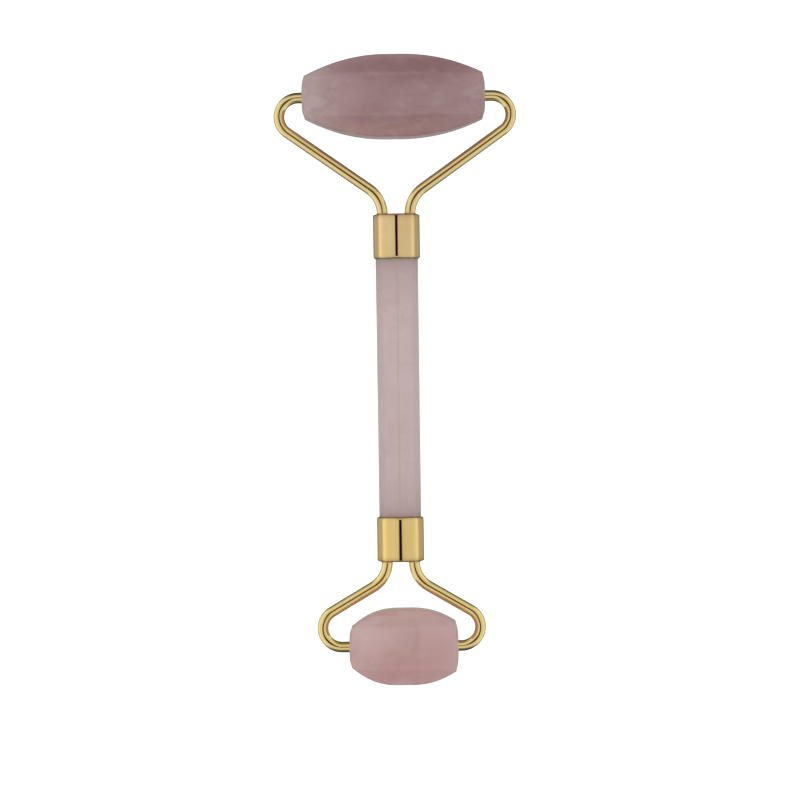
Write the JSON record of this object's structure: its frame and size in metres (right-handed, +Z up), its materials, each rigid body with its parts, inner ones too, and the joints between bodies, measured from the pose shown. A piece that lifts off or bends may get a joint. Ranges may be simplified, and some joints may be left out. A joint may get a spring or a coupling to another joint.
{
  "type": "face roller",
  "caption": "Two-ended facial massage roller: octagonal stone handle, a bent-wire yoke at each end, and a long and a short barrel-shaped stone that spin on the wires.",
  "frame": {"origin": "on the surface that the roller lies on, under the middle of the whole object's box", "axes": "+Z up; +Y along the object towards the large stone; +X along both stones' axles"},
  "size_m": [0.0556, 0.144, 0.019],
  "materials": {
    "rose_quartz": "polished, milky pink with faint veins and clouds",
    "gold_plate": "polished gold plate over cast metal",
    "gold_wire": "polished gold plate over drawn wire",
    "gold_braze": "plated fillet, slightly softer than the wire",
    "cement": "cured off-white adhesive",
    "bush_plastic": "moulded nylon"
  },
  "bodies": {
    "frame": {"handle_stone": "rose_quartz", "large_end_ferrule": "gold_plate", "small_end_ferrule": "gold_plate", "large_end_cement": "cement", "small_end_cement": "cement", "large_left_arm": "gold_wire", "large_right_arm": "gold_wire", "small_left_arm": "gold_wire", "small_right_arm": "gold_wire", "large_left_braze": "gold_braze", "large_right_braze": "gold_braze", "small_left_braze": "gold_braze", "small_right_braze": "gold_braze"},
    "large_roller": {"large_roller_stone": "rose_quartz", "large_left_bush": "bush_plastic", "large_right_bush": "bush_plastic"},
    "small_roller": {"small_roller_stone": "rose_quartz", "small_left_bush": "bush_plastic", "small_right_bush": "bush_plastic"}
  },
  "joints": [
    {"name": "large_roller_spin", "type": "hinge", "parent": "frame", "child": "large_roller", "pos_m": [0, 0.06255, 0.0095], "axis": [1, 0, 0], "continuous": true},
    {"name": "small_roller_spin", "type": "hinge", "parent": "frame", "child": "small_roller", "pos_m": [0, -0.06335, 0.0087], "axis": [1, 0, 0], "continuous": true}
  ]
}
